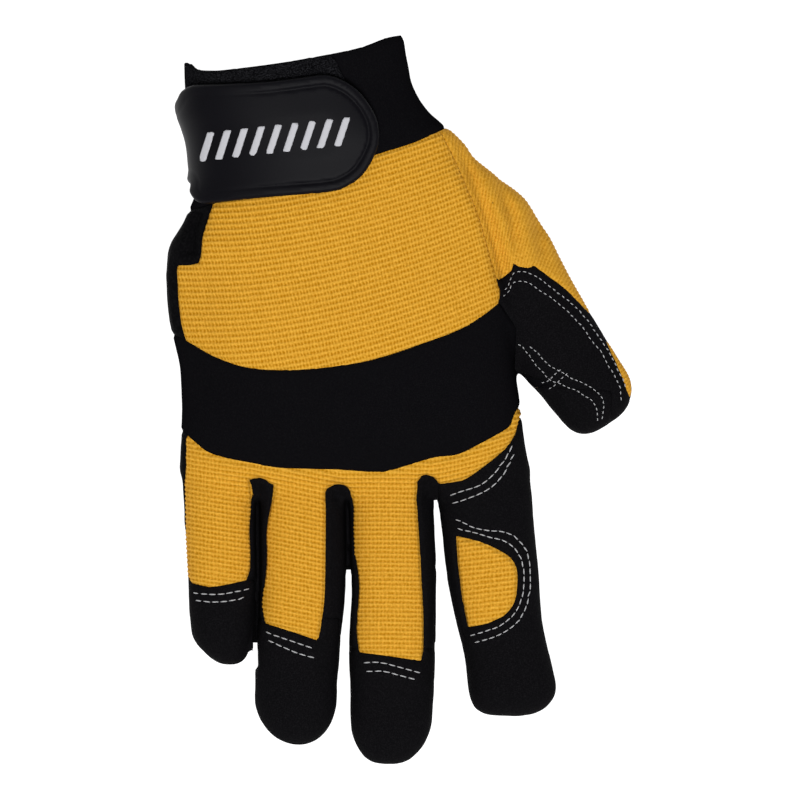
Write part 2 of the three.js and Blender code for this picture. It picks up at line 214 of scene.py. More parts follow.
limbs = [
    {"name": "hand", "rows": hand_rows, "start": (0, 0), "turn": 0, "square": 2.7, "cap_from": 22.0,
     "cap_to": 36.5, "egg": 2.2, "blend": 0},
    {"name": "little", "rows": little_rows, "start": (0, 0), "turn": 0, "square": 2.4, "cap_from": 72.0,
     "cap_to": 87.6, "egg": 2.5, "blend": 2.5},
    {"name": "ring", "rows": ring_rows, "start": (0, 0), "turn": 0, "square": 2.4, "cap_from": 98.0,
     "cap_to": 114.0, "egg": 2.2, "blend": 2.5},
    {"name": "middle", "rows": middle_rows, "start": (0, 0), "turn": 0, "square": 2.4, "cap_from": 104.0,
     "cap_to": 120.6, "egg": 2.6, "blend": 2.5},
    {"name": "index", "rows": index_rows, "start": (0, 0), "turn": 0, "square": 2.4, "cap_from": 92.0,
     "cap_to": 104.6, "egg": 3.2, "blend": 2.5},
    {"name": "thumb", "rows": thumb_rows, "start": (23.0, 66.5), "turn": thumb_turn, "square": 2.4,
     "cap_from": 76.0, "cap_to": 87.5, "egg": 3.2, "blend": 4},
]
limb_foot = 22.0
wall = 1.5


def column(rows, name):
    """A smooth curve through one column of a table, as (places, values) close together."""
    at = np.array([row["at"] for row in rows])
    value = np.array([row[name] for row in rows])
    slope = np.gradient(value, at)
    fine = np.linspace(at[0], at[-1], 30 * len(at))
    i = np.clip(np.searchsorted(at, fine) - 1, 0, len(at) - 2)
    step = at[i + 1] - at[i]
    t = (fine - at[i]) / step
    curve = (
        value[i] * (1 + 2 * t) * (1 - t) ** 2
        + slope[i] * step * t * (1 - t) ** 2
        + value[i + 1] * t**2 * (3 - 2 * t)
        + slope[i + 1] * step * t**2 * (t - 1)
    )
    return fine, curve


edge_names = ("left", "right", "low", "high")
for limb in limbs:
    limb["columns"] = {name: column(limb["rows"], name) for name in edge_names}


def limb_share(limb, points):
    """1 on the limb's skin, less inside it and more outside."""
    turn = limb["turn"]
    x = points[..., 0] - limb["start"][0]
    y = points[..., 1] - limb["start"][1]
    along = x * math.sin(turn) - y * math.cos(turn)
    across = x * math.cos(turn) + y * math.sin(turn)
    left, right, low, high = (np.interp(along, *limb["columns"][name]) for name in edge_names)
    power = limb["square"]
    wide = np.abs((2 * across - left - right) / (right - left)) ** power
    tall = np.abs((2 * points[..., 2] - low - high) / (high - low)) ** power
    cap = np.clip((along - limb["cap_from"]) / (limb["cap_to"] - limb["cap_from"]), 0, None)
    if limb["blend"]:
        foot_from = limb["rows"][0]["at"] + limb_foot
        cap = cap + np.clip((foot_from - along) / limb_foot, 0, None)
    egg = limb["egg"]
    return ((wide + tall) ** (egg / power) + cap**egg) ** (1 / egg)


def slopes(value_of, points, value, nudge):
    """How fast a value at points changes along x, y and z, found by a nudge each way."""
    steps = [np.array(way) * nudge for way in ((1, 0, 0), (0, 1, 0), (0, 0, 1))]
    return [(value_of(points + step) - value) / nudge for step in steps]


def limb_depth(limb, points):
    """About the distance in millimetres from the limb's skin, negative inside it."""
    share = limb_share(limb, points)
    slope = slopes(lambda spots: limb_share(limb, spots), points, share, 0.2)
    return (share - 1) / np.maximum(np.sqrt(sum(s * s for s in slope)), 1e-3)


def soft_least(a, b, blend):
    """The lesser of two distances, rounded over a blend where they are near each other."""
    near = np.clip(0.5 + 0.5 * (b - a) / blend, 0, 1)
    return b * (1 - near) + a * near - blend * near * (1 - near)


# The grooves between neighbouring fingers, as the middle line between their facing sides. Down to
# the end of its web, a groove's floor is the strip that joins the two fingers' sides.
slot_half_width = 0.7
slot_from = -33.5
web_height = 12.0
slots = []
webs = ((little_rows, ring_rows, -83), (ring_rows, middle_rows, -58.5), (middle_rows, index_rows, -35))
for one, other, web_end in webs:
    places, right_edge = column(one, "right")
    next_places, left_edge = column(other, "left")
    middle_line = (right_edge + np.interp(places, next_places, left_edge)) / 2
    slots.append((places, middle_line, web_end, min(places[-1], next_places[-1])))

# Folds and hollows pressed into the filled glove, along a line seen from above. depth is how far
# the skin sinks, fade how far from the line's ends it does so in full, and floor the height where it
# starts.
folds = [
    {"name": "thumb crease", "width": 3.0, "depth": 4.0, "fade": 12, "floor": 14,
     "line": [(18.5, 83), (22.4, 74), (27.8, 61.5), (31.2, 51.3), (34.2, 41), (36.4, 33)]},
    {"name": "little finger's side", "width": 18, "depth": 6.0, "fade": 14, "floor": 27,
     "line": [(-78, 52), (-81, 20), (-80, -6)]},
    {"name": "thumb ridge", "width": 2.8, "depth": -1.0, "fade": 12, "floor": 14,
     "line": [(18.5, 78), (22.6, 68), (26.6, 57), (29.2, 46), (30.4, 38)]},
    {"name": "thumb fold", "width": 2.4, "depth": 2.6, "fade": 10, "floor": 14,
     "line": [(32.5, 71), (37.0, 60), (39.0, 46)]},
    {"name": "outer thumb fold", "width": 2.4, "depth": 2.2, "fade": 9, "floor": 14,
     "line": [(43.4, 63), (45.8, 52), (48.0, 43)]},
    {"name": "wrist vent", "width": 2.6, "depth": 3.0, "fade": 1, "floor": 14,
     "line": [(-65.0, 62), (-67.6, 54), (-68.6, 47.5)]},
    {"name": "little knuckle", "width": 2.2, "depth": 1.6, "fade": 1, "floor": 14,
     "line": [(-48, -25), (-47, -31)]},
    {"name": "ring knuckle", "width": 2.4, "depth": 1.4, "fade": 1, "floor": 14,
     "line": [(-22, -26), (-20, -33)]},
    {"name": "middle knuckle", "width": 2.4, "depth": 1.4, "fade": 1, "floor": 14,
     "line": [(9, -26), (10.5, -33)]},
]


def line_distance(flat, line):
    """Distance of points seen from above to a line of spots, and the nearest spot on it."""
    best = np.full(flat.shape[:-1], 1e9)
    nearest = np.zeros(flat.shape)
    for start, end in zip(line[:-1], line[1:]):
        start, end = np.asarray(start, float), np.asarray(end, float)
        run = end - start
        share = np.clip(((flat - start) @ run) / max(run @ run, 1e-12), 0, 1)
        spot = start + share[..., None] * run
        gap = np.linalg.norm(flat - spot, axis=-1)
        closer = gap < best
        best = np.where(closer, gap, best)
        nearest = np.where(closer[..., None], spot, nearest)
    return best, nearest


def hand_depth(points):
    """About the distance from the skin of the whole hand, negative inside it."""
    depth = limb_depth(limbs[0], points)
    near_palm = np.clip((points[..., 1] + 84) / 20, 0.15, 1)
    for limb in limbs[1:]:
        depth = soft_least(depth, limb_depth(limb, points), limb["blend"] * near_palm)
    for places, middle_line, web_end, end in slots:
        aside = np.abs(points[..., 0] - np.interp(-points[..., 1], places, middle_line))
        web = np.maximum(aside - 2.0, np.abs(points[..., 2] - web_height) - 3.0)
        web_middle = (slot_from + web_end) / 2
        web = np.maximum(web, np.abs(points[..., 1] - web_middle) - (slot_from - web_end) / 2)
        depth = np.minimum(depth, web)
        past = np.clip(points[..., 1] - slot_from, 0, None) + np.clip(-points[..., 1] - end, 0, None)
        groove = np.hypot(aside, past) - slot_half_width
        beside_web = np.clip((points[..., 1] - web_end) / 3, 0, 1) * (web_height + 30) - 30 - points[..., 2]
        depth = -soft_least(-depth, np.maximum(groove, beside_web), 1.2)
    for fold in folds:
        lift = np.clip((points[..., 2] - fold["floor"]) / 8, 0, 1)
        aside, spot = line_distance(points[..., :2], fold["line"])
        ends = [np.linalg.norm(spot - np.array(fold["line"][k]), axis=-1) for k in (0, -1)]
        fade = np.clip(0.2 + np.minimum(*ends) / fold["fade"], 0, 1)
        depth = depth + fold["depth"] * fade * lift * np.exp(-((aside / fold["width"]) ** 2))
    return -soft_least(-depth, points[..., 2], 1.5)


def settle(points, depth_of, level=0.0, rounds=3):
    """Points moved onto the surface where the depth is at a level."""
    for _ in range(rounds):
        depth = depth_of(points)
        slope = np.stack(slopes(depth_of, points, depth, 0.1), axis=-1)
        steepness = np.maximum((slope**2).sum(-1), 0.05)
        points = points - np.clip((depth - level) / steepness, -1, 1)[..., None] * slope
    return points


def skin(depth_of, low, high, cell, level=0.0):
    """Triangles of the surface where the depth is at a level, inside a box of cells."""
    axes = [np.arange(a, b + cell, cell) for a, b in zip(low, high)]
    grid = np.stack(np.meshgrid(*axes, indexing="ij"), axis=-1)
    depth = np.concatenate([depth_of(part) for part in np.array_split(grid, 12)]) - level
    inside = depth < 0
    counts = np.zeros([n - 1 for n in depth.shape])
    sums = np.zeros(counts.shape + (3,))
    corner = [slice(None, -1), slice(1, None)]
    for axis in range(3):
        others = [a for a in range(3) if a != axis]
        for i in (0, 1):
            for j in (0, 1):
                pick = [None] * 3
                pick[others[0]], pick[others[1]] = corner[i], corner[j]
                pick[axis] = corner[0]
                first = tuple(pick)
                pick[axis] = corner[1]
                second = tuple(pick)
                crosses = inside[first] != inside[second]
                drop = depth[first] - depth[second]
                share = np.where(crosses, depth[first] / np.where(drop == 0, 1, drop), 0)
                spot = grid[first] + share[..., None] * (grid[second] - grid[first])
                counts += crosses
                sums += spot * crosses[..., None]
    used = counts > 0
    number = np.full(counts.shape, -1)
    number[used] = np.arange(used.sum())
    points = sums[used] / counts[used][:, None]
    quads = []
    for axis in range(3):
        a, b = (axis + 1) % 3, (axis + 2) % 3
        first = [slice(1, -1)] * 3
        second = [slice(1, -1)] * 3
        first[axis], second[axis] = slice(0, -1), slice(1, None)
        here, there = inside[tuple(first)], inside[tuple(second)]
        for outward in (True, False):
            at = np.argwhere((here != there) & (here == outward))
            at[:, a] += 1
            at[:, b] += 1
            ring = []
            for da, db in ((0, 0), (-1, 0), (-1, -1), (0, -1)):
                spot = at.copy()
                spot[:, a] += da
                spot[:, b] += db
                ring.append(number[tuple(spot.T)])
            ring = np.stack(ring, axis=1)
            quads.append(ring if outward else ring[:, ::-1])
    quads = np.concatenate(quads)
    points = settle(points, depth_of, level)
    corners = points[quads]
    first_diagonal = np.linalg.norm(corners[:, 0] - corners[:, 2], axis=1)
    other_diagonal = np.linalg.norm(corners[:, 1] - corners[:, 3], axis=1)
    short = (first_diagonal < other_diagonal)[:, None]
    one = np.where(short, quads[:, [0, 1, 2]], quads[:, [0, 1, 3]])
    two = np.where(short, quads[:, [0, 2, 3]], quads[:, [1, 2, 3]])
    return points[np.concatenate([one, two])]


uncut = skin(hand_depth, (-82, -126, -3), (82, 126, 54), 1.2)

# The cuff: a stretchy black neoprene sleeve round the wrist, cut slanting at the mouth and sewn
# to the back, palm and thumb along one slanted seam.
snap = 0.12
seam_height = 12.0
edge_steps = (0.5, 1.2)
cuff_seam = [
    (-85.6, 56.9), (-64.2, 63.9), (-32.8, 71.8), (-7.1, 80.7), (4.1, 84.3), (13.7, 88.9), (29.9, 97.5),
]
mouth = [
    (-80.0, 105.0), (-71.6, 111.6), (-70.2, 110.8), (-67.6, 108.6), (-62.5, 108.1), (-57.5, 108.3),
    (-45.1, 109.7), (-32.6, 111.6), (-14.3, 115.2), (-4.5, 118.7), (0.5, 120.1), (10.0, 122.6),
]


def rounded(spots, parts=5):
    """A smooth curve through spots, as a denser list of spots."""
    spots = np.array(spots, float)
    slope = np.gradient(spots, axis=0)
    t = np.linspace(0, 1, parts + 1)[:-1, None]
    curve = [
        spots[i] * (1 + 2 * t) * (1 - t) ** 2
        + slope[i] * t * (1 - t) ** 2
        + spots[i + 1] * t**2 * (3 - 2 * t)
        + slope[i + 1] * t**2 * (t - 1)
        for i in range(len(spots) - 1)
    ]
    return [tuple(spot) for spot in np.concatenate(curve + [spots[-1:]])]


def inside_of(points, outline):
    """Distance from points to an outline seen from above, positive inside it."""
    distance, _ = line_distance(points[..., :2], outline + outline[:1])
    x, y = points[..., 0], points[..., 1]
    crossings = np.zeros(x.shape, int)
    for (x0, y0), (x1, y1) in zip(outline, outline[1:] + outline[:1]):
        if y0 == y1:
            continue
        spans = (y0 > y) != (y1 > y)
        crossings += spans & (x < x0 + (y - y0) / (y1 - y0) * (x1 - x0))
    return np.where(crossings % 2 == 1, distance, -distance)


def split(soup, side):
    """The triangles where side is positive and the others, with those across the border cut."""
    side = np.where(np.abs(side) < snap, 0, side)
    count = (side > 0).sum(1)
    mixed = (count == 1) | (count == 2)
    corners, value = soup[mixed], side[mixed]
    lone_inside = count[mixed] == 1
    lone = np.argmax((value > 0) == lone_inside[:, None], axis=1)
    order = (lone[:, None] + np.arange(3)) % 3
    rows = np.arange(len(corners))[:, None]
    corners, value = corners[rows, order], value[rows, order]
    crossing = []
    for k in (1, 2):
        share = (value[:, 0] / (value[:, 0] - value[:, k]))[:, None]
        crossing.append(corners[:, 0] + share * (corners[:, k] - corners[:, 0]))
    tip = np.stack([corners[:, 0], crossing[0], crossing[1]], axis=1)
    base = np.concatenate(
        [
            np.stack([crossing[0], corners[:, 1], corners[:, 2]], axis=1),
            np.stack([crossing[0], corners[:, 2], crossing[1]], axis=1),
        ]
    )
    twice = np.concatenate([lone_inside, lone_inside])
    inside = np.concatenate([soup[count == 3], tip[lone_inside], base[~twice]])
    outside = np.concatenate([soup[count == 0], tip[~lone_inside], base[twice]])
    return whole(inside), whole(outside)


def whole(soup):
    """The triangles whose three corners are apart."""
    spot = np.round(soup[..., :3] * 1e4)
    apart = [(spot[:, i] != spot[:, (i + 1) % 3]).any(1) for i in range(3)]
    return soup[apart[0] & apart[1] & apart[2]]


def cut_panel(outlines, low=None):
    """One panel cut out of what is left of the glove, above a height if one is given."""
    global uncut

    def side_of(soup):
        side = np.max([inside_of(soup, outline) for outline in outlines], axis=0)
        return side if low is None else np.minimum(side, soup[..., 2] - low)

    spots = np.concatenate([np.array(outline) for outline in outlines])
    box = uncut[..., :2]
    margin = 3.0
    near = (box.max(1) > spots.min(0) - margin).all(1) & (box.min(1) < spots.max(0) + margin).all(1)
    if low is not None:
        near &= uncut[..., 2].max(1) > low - margin
    far, nearby = uncut[~near], uncut[near]
    inside, outside = split(nearby, side_of(nearby))
    for step in edge_steps:
        inside = np.concatenate(split(inside, side_of(inside) - step))
        outside = np.concatenate(split(outside, side_of(outside) + step))
    uncut = np.concatenate([far, outside])
    return inside


def weld(soup):
    """Points and faces of triangles whose equal corners are joined."""
    flat = soup.reshape(-1, soup.shape[-1])
    keys = np.round(flat[:, :3] * 1e4).astype(np.int64)
    code = (keys[:, 0] * 7919 + keys[:, 1]) * 104729 + keys[:, 2]
    _, first, faces = np.unique(code, return_index=True, return_inverse=True)
    faces = faces.reshape(-1, 3)
    apart = (faces[:, 0] != faces[:, 1]) & (faces[:, 1] != faces[:, 2]) & (faces[:, 2] != faces[:, 0])
    return flat[first], faces[apart]


def open_edges(faces):
    """The edges that one face alone has, in that face's direction."""
    edges = np.concatenate([faces[:, [0, 1]], faces[:, [1, 2]], faces[:, [2, 0]]])
    most = faces.max() + 1
    there = edges[:, 0] * most + edges[:, 1]
    back = edges[:, 1] * most + edges[:, 0]
    return edges[~np.isin(there, back)]


def edge_distance(points, ring):
    """Distance from points to the open edges of their piece."""
    starts, ends = points[ring[:, 0]], points[ring[:, 1]]
    spots = np.concatenate([starts + share * (ends - starts) for share in (0, 0.25, 0.5, 0.75)])
    tree = kdtree.KDTree(len(spots))
    for number, spot in enumerate(spots):
        tree.insert(spot, number)
    tree.balance()
    return np.array([tree.find(point)[2] for point in points])


def outward(points, depth_of):
    """Unit vectors that point straight out of the surface."""
    slope = np.stack(slopes(depth_of, points, depth_of(points), 0.2), axis=-1)
    return slope / np.maximum(np.linalg.norm(slope, axis=-1, keepdims=True), 1e-9)


def mesh_object(name, points, faces, **vectors):
    """An object of triangles, with named vectors on its points."""
    mesh = bpy.data.meshes.new(name)
    mesh.vertices.add(len(points))
    mesh.vertices.foreach_set("co", (points * MM).ravel())
    mesh.loops.add(3 * len(faces))
    mesh.loops.foreach_set("vertex_index", faces.ravel().astype(np.int32))
    mesh.polygons.add(len(faces))
    mesh.polygons.foreach_set("loop_start", np.arange(0, 3 * len(faces), 3, dtype=np.int32))
    mesh.update(calc_edges=True)
    for key, value in vectors.items():
        mesh.attributes.new(key, "FLOAT_VECTOR", "POINT").data.foreach_set("vector", value.ravel())
    made = bpy.data.objects.new(name, mesh)
    scene.collection.objects.link(made)
    return made


def apply_tree(made, tree, **values):
    """Runs a geometry tree on an object with the named inputs, and keeps what it makes."""
    modifier = made.modifiers.new("shape", "NODES")
    modifier.node_group = tree
    for item in tree.interface.items_tree:
        key = item.name.lower().replace(" ", "_")
        if item.item_type == "SOCKET" and item.in_out == "INPUT" and key in values:
            modifier[item.identifier] = values[key]
    made.update_tag()
    shaped = made.evaluated_get(bpy.context.evaluated_depsgraph_get())
    result = bpy.data.meshes.new_from_object(shaped)
    made.modifiers.remove(modifier)
    old = made.data
    made.data = result
    bpy.data.meshes.remove(old)
    result.name = made.name


def new_tree(name, inputs):
    """A geometry tree with a geometry input and the named inputs after it."""
    tree = bpy.data.node_groups.new(name, "GeometryNodeTree")
    tree.interface.new_socket("Geometry", in_out="INPUT", socket_type="NodeSocketGeometry")
    for key, kind in inputs.items():
        tree.interface.new_socket(key, in_out="INPUT", socket_type=kind)
    tree.interface.new_socket("Geometry", in_out="OUTPUT", socket_type="NodeSocketGeometry")
    return tree, tree.nodes.new("NodeGroupInput").outputs, tree.nodes.new("NodeGroupOutput").inputs


def math_node(tree, operation, first, second=0.5, third=0.5):
    """The result of one sum on values or links."""
    node = add_node(tree, "ShaderNodeMath", {0: first, 1: second, 2: third}, operation=operation)
    return node.outputs[0]


# The tree that dresses a sewn panel: ribs of the knit, edges turned in at the seams, soft creases.
# On each point, weave holds the loops along a rib, the ribs across the panel and the millimetres to
# the panel's edge, and out points out of the skin, or is nothing on the lining.
sewn, given, made_geometry = new_tree(
    "sewn_panel",
    {
        "Rib height": "NodeSocketFloat",
        "Turn depth": "NodeSocketFloat",
        "Turn width": "NodeSocketFloat",
        "Crease height": "NodeSocketFloat",
        "Crease size": "NodeSocketFloat",
        "Material": "NodeSocketMaterial",
    },
)
weave_node = add_node(sewn, "GeometryNodeInputNamedAttribute", {"Name": "weave"}, data_type="FLOAT_VECTOR")
out_node = add_node(sewn, "GeometryNodeInputNamedAttribute", {"Name": "out"}, data_type="FLOAT_VECTOR")
weave_parts = add_node(sewn, "ShaderNodeSeparateXYZ", {0: weave_node.outputs[0]}).outputs
wave = math_node(sewn, "COSINE", math_node(sewn, "MULTIPLY", weave_parts["Y"], 2 * math.pi))
from_edge = add_node(
    sewn,
    "ShaderNodeMapRange",
    {"Value": weave_parts["Z"], "From Max": given["Turn width"]},
    interpolation_type="SMOOTHSTEP",
).outputs["Result"]
rib_part = math_node(sewn, "MULTIPLY", math_node(sewn, "MULTIPLY", wave, given["Rib height"]), from_edge)
turn_part = math_node(sewn, "MULTIPLY", math_node(sewn, "SUBTRACT", from_edge, 1.0), given["Turn depth"])
place = add_node(sewn, "GeometryNodeInputPosition").outputs[0]
place_mm = add_node(sewn, "ShaderNodeVectorMath", {0: place, "Scale": 1 / MM}, operation="SCALE").outputs[0]
crease_scale = math_node(sewn, "DIVIDE", 1.0, given["Crease size"])
crease_field = {"Vector": place_mm, "Scale": crease_scale, "Detail": 2.0, "Roughness": 0.45}
crease = add_node(sewn, "ShaderNodeTexNoise", crease_field).outputs[0]
crease_part = math_node(sewn, "MULTIPLY", math_node(sewn, "SUBTRACT", crease, 0.5), given["Crease height"])
rise = math_node(sewn, "ADD", math_node(sewn, "ADD", rib_part, turn_part), crease_part)
rise_m = math_node(sewn, "MULTIPLY", rise, MM)
push = add_node(
    sewn, "ShaderNodeVectorMath", {0: out_node.outputs[0], "Scale": rise_m}, operation="SCALE"
).outputs[0]
moved = add_node(sewn, "GeometryNodeSetPosition", {"Geometry": given["Geometry"], "Offset": push})
smooth = add_node(sewn, "GeometryNodeSetShadeSmooth", {0: moved.outputs[0]}).outputs[0]
real = add_node(sewn, "GeometryNodeRealizeInstances", {0: smooth}).outputs[0]
dressed = add_node(sewn, "GeometryNodeSetMaterial", {"Geometry": real, "Material": given["Material"]})
sewn.links.new(dressed.outputs[0], made_geometry[0])


def slice_ribs(soup, across):
    """Triangles cut along every quarter of a rib, so that the ribs have points to rise on."""
    soup = np.concatenate([soup, 4 * across(soup)[..., None]], axis=-1)
    done = []
    least = 0.02
    while len(soup):
        level = np.floor(soup[..., 3].min(1) + least) + 1
        side = soup[..., 3] - level[:, None]
        side = np.where(np.abs(side) < least, 0, side / least)
        crossing = (side.min(1) < 0) & (side.max(1) > 0)
        done.append(soup[~crossing])
        soup = np.concatenate(split(soup[crossing], side[crossing]))
    return np.concatenate(done)


def closed_panel(name, top, under, faces, ring, weave, out):
    """A panel between its top and its underside, closed by a rim along its open edges."""
    count = len(top)
    rim = np.concatenate([
        np.stack([ring[:, 1], ring[:, 0], ring[:, 0] + count], axis=1),
        np.stack([ring[:, 1], ring[:, 0] + count, ring[:, 1] + count], axis=1),
    ])
    return mesh_object(
        name,
        np.concatenate([top, under]),
        np.concatenate([faces, faces[:, ::-1] + count, rim]),
        weave=np.tile(weave, (2, 1)),
        out=np.concatenate([out, np.zeros_like(out)]),
    )


plain_look = {
    "rib_height": 0.0, "turn_depth": 0.5, "turn_width": 1.3, "crease_height": 0.0, "crease_size": 6.0,
}


def sewn_piece(name, slot, soup, material, along=None, across=None, **look):
    """A panel of the glove with its lining and rim, dressed by the sewn_panel tree."""
    if across is not None:
        soup = slice_ribs(soup, across)
    points, faces = weld(soup)
    points = points[:, :3]
    ring = open_edges(faces)
    out = outward(points, hand_depth)
    weave = np.zeros(points.shape)
    weave[:, 2] = edge_distance(points, ring)
    if across is not None:
        weave[:, 0] = along(points)
        weave[:, 1] = across(points)
    made = closed_panel(name, points, points - wall * out, faces, ring, weave, out)
    apply_tree(made, sewn, material=material, **{**plain_look, **look})
    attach(made, "root")
    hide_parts(name)
    return made


def speckled(name, dark, light, size, bump, roughness, specular):
    """Black cloth or leather whose fine grain is lighter in spots and rough to the touch."""
    material = new_material(name)
    tree = material.node_tree
    place = add_node(tree, "ShaderNodeTexCoord").outputs["Object"]
    fine = {"Vector": place, "Scale": 1 / (size * MM), "Detail": 3.0, "Roughness": 0.6}
    grain = add_node(tree, "ShaderNodeTexNoise", fine).outputs[0]
    lit = add_node(
        tree,
        "ShaderNodeMapRange",
        {"Value": grain, "From Min": 0.42, "From Max": 0.72},
        interpolation_type="SMOOTHSTEP",
    ).outputs["Result"]
    color = add_node(tree, "ShaderNodeMix", {"Factor": lit, "A": dark, "B": light}, data_type="RGBA")
    relief = add_node(tree, "ShaderNodeBump", {"Height": grain, "Distance": bump * MM, "Strength": 0.6})
    return finish_material(
        material, color.outputs["Result"], roughness, specular, relief.outputs["Normal"]
    )


neoprene = speckled(
    "neoprene", (0.0036, 0.0034, 0.0042, 1), (0.0064, 0.0062, 0.0071, 1), 0.35, 0.12, 0.95, 0.0
)

_, uncut = split(uncut, inside_of(uncut, rounded(mouth) + [(40, 140), (-110, 140)]))
cuff_soup = cut_panel([rounded(cuff_seam) + [(60, 97.5), (60, 150), (-110, 150), (-110, 56.9)]])
cuff_look = {"turn_depth": 0.7, "turn_width": 1.6, "crease_height": 0.7, "crease_size": 9.0}
sewn_piece("cuff", "neoprene", cuff_soup, neoprene, **cuff_look)

# The knit window on the index finger: a piece of yellow ribbed knit, sewn into a D-shaped hole of
# the suede guard. The knit's ribs stand up, and small loops run along them. The dark gold between them
# is painted shade.


def knit_yarn(name, rib_shade_share, loop_shade_share, sway_turns):
    """Golden yarn with painted shade: darker between the ribs and between the loops along them, where shade
    falls, plus random fibre tone.
    """
    material = new_material(name)
    tree = material.node_tree
    weave = add_node(tree, "ShaderNodeAttribute", attribute_name="weave")
    parts = add_node(tree, "ShaderNodeSeparateXYZ", {0: weave.outputs["Vector"]}).outputs
    place = add_node(tree, "ShaderNodeTexCoord").outputs["Object"]
    sway = add_node(tree, "ShaderNodeTexNoise", {"Vector": place, "Scale": 350.0, "Detail": 1.0}).outputs[0]
    loops = math_node(tree, "ADD", parts["X"], math_node(tree, "MULTIPLY", sway, sway_turns))
    rib_wave = math_node(tree, "COSINE", math_node(tree, "MULTIPLY", parts["Y"], 2 * math.pi))
    loop_wave = math_node(tree, "COSINE", math_node(tree, "MULTIPLY", loops, 2 * math.pi))
    # Painted shade: the colour darkens in the grooves between the raised ribs.
    rib_painted_shade = math_node(tree, "MULTIPLY", rib_wave, rib_shade_share)
    # Painted shade in the gaps between the loops, strongest in the grooves.
    groove = math_node(tree, "MULTIPLY_ADD", rib_wave, -0.45, 1.0)
    loop_painted_shade = math_node(tree, "MULTIPLY", math_node(tree, "MULTIPLY", loop_wave, groove), loop_shade_share)
    fibre = add_node(tree, "ShaderNodeTexNoise", {"Vector": place, "Scale": 1500.0, "Detail": 2.0})
    fibre_tone = math_node(tree, "MULTIPLY", math_node(tree, "SUBTRACT", fibre.outputs[0], 0.5), 2.8)
    painted_shade_and_tone = math_node(tree, "ADD", math_node(tree, "ADD", rib_painted_shade, loop_painted_shade), fibre_tone)
    lit = add_node(tree, "ShaderNodeMapRange", {"Value": painted_shade_and_tone, "From Min": -1.1, "From Max": 1.1})
    # Dark gold is the painted shade of the grooves and loop gaps, and bright gold is the lit yarn.
    yarn_with_painted_shade = add_node(
        tree,
        "ShaderNodeMix",
        {"Factor": lit.outputs["Result"], "A": (0.44, 0.184, 0.002, 1), "B": (0.80, 0.425, 0.05, 1)},
        data_type="RGBA",
    )
    relief = add_node(tree, "ShaderNodeBump", {"Height": painted_shade_and_tone, "Distance": 0.1 * MM, "Strength": 0.6})
    return finish_material(material, yarn_with_painted_shade.outputs["Result"], 0.9, 0.05, relief.outputs["Normal"])


# The two shares set how strong the painted shade between the ribs and between the loops is.
knit = knit_yarn("knit", 0.54, 0.46, 0.7)
finger_yarn = knit_yarn("finger_knit", 0.56, 0.28, 0.9)
finger_pitch = 1.5
finger_loop = 1.27


def window_across(points):
    """Ribs across the window."""
    return (0.12 * points[..., 0] - points[..., 1]) / (1.07 * finger_pitch)


def window_along(points):
    """Loops along the ribs of the window."""
    return points[..., 0] / finger_loop


window = [
    (18.0, -44.8), (26.2, -46.7), (32.6, -49.5), (36.8, -52.2), (38.7, -55.5), (39.1, -59.2),
    (38.7, -63.8), (37.3, -68.0), (33.6, -71.7), (28.0, -74.0), (22.0, -75.2),
]
window_soup = cut_panel([rounded(window) + [(20.0, -65.8), (18.6, -54.3)]], seam_height)
knit_look = {"rib_height": 0.18, "turn_depth": 0.8, "turn_width": 1.7}
sewn_piece("index_window", "knit", window_soup, finger_yarn, window_along, window_across, **knit_look)

# The index guard: a cap of black suede over the whole of the index finger, sewn to the knit below
# the knuckles and round the window, and to the palm at the finger's sides.
suede = speckled("suede", (0.0033, 0.0031, 0.0037, 1), (0.008, 0.0076, 0.0086, 1), 0.4, 0.2, 0.9, 0.02)
guard_top = [
    (12.6, -28.2), (18.3, -27.5), (22.5, -25.9), (26.2, -23.3), (33.6, -17.6), (36.4, -14.8), (38.5, -11.5),
    (39.9, -7.0), (41.3, -2.0), (45.5, 4.0),
]
suede_look = {"turn_depth": 0.45, "turn_width": 1.4, "crease_height": 0.5, "crease_size": 7.0}
guard_sides = [(70, 3), (70, -125), (18, -125), (11.5, -80), (12.0, -40)]
guard_soup = cut_panel([rounded(guard_top) + guard_sides], seam_height)
sewn_piece("index_guard", "leather", guard_soup, suede, **suede_look)

# The finger knit: one piece of yellow knit below the knuckle band, with tongues down the backs of
# the little, ring and middle fingers. Its ribs follow the band and level out down the fingers.
band_low = [
    (-85.6, -3.0), (-76.0, -7.4), (-69.5, -12.6), (-64.0, -17.0), (-58.1, -19.1), (-49.2, -20.9),
    (-40.4, -22.5), (-31.5, -22.9), (-19.8, -23.2), (-8.0, -24.1), (-3.3, -23.5), (5.0, -20.9),
    (11.4, -19.1), (17.0, -18.5), (20.7, -17.5), (25.3, -15.2), (34.6, -10.1), (37.0, -8.0), (38.6, -4.0),
    (44.0, 4.0),
]
slope_places = np.arange(-90.0, 50.0, 1.0)
finger_slopes = np.interp(
    slope_places, [-72, -52, -47, -22, -15, 8, 14, 42], [-0.2, -0.13, -0.2, -0.2, 0.02, -0.04, 0.2, 0.34]
)
finger_rise = np.cumsum(finger_slopes)


def finger_across(points):
    """Ribs across the finger knit."""
    return (np.interp(points[..., 0], slope_places, finger_rise) - points[..., 1]) / finger_pitch


def finger_along(points):
    """Loops along the ribs of the finger knit."""
    return points[..., 0] / finger_loop


def tongue(left, bottom, right):
    """The plan of a tongue of knit between its left and right edges."""
    return rounded(left) + rounded(bottom) + rounded(right)


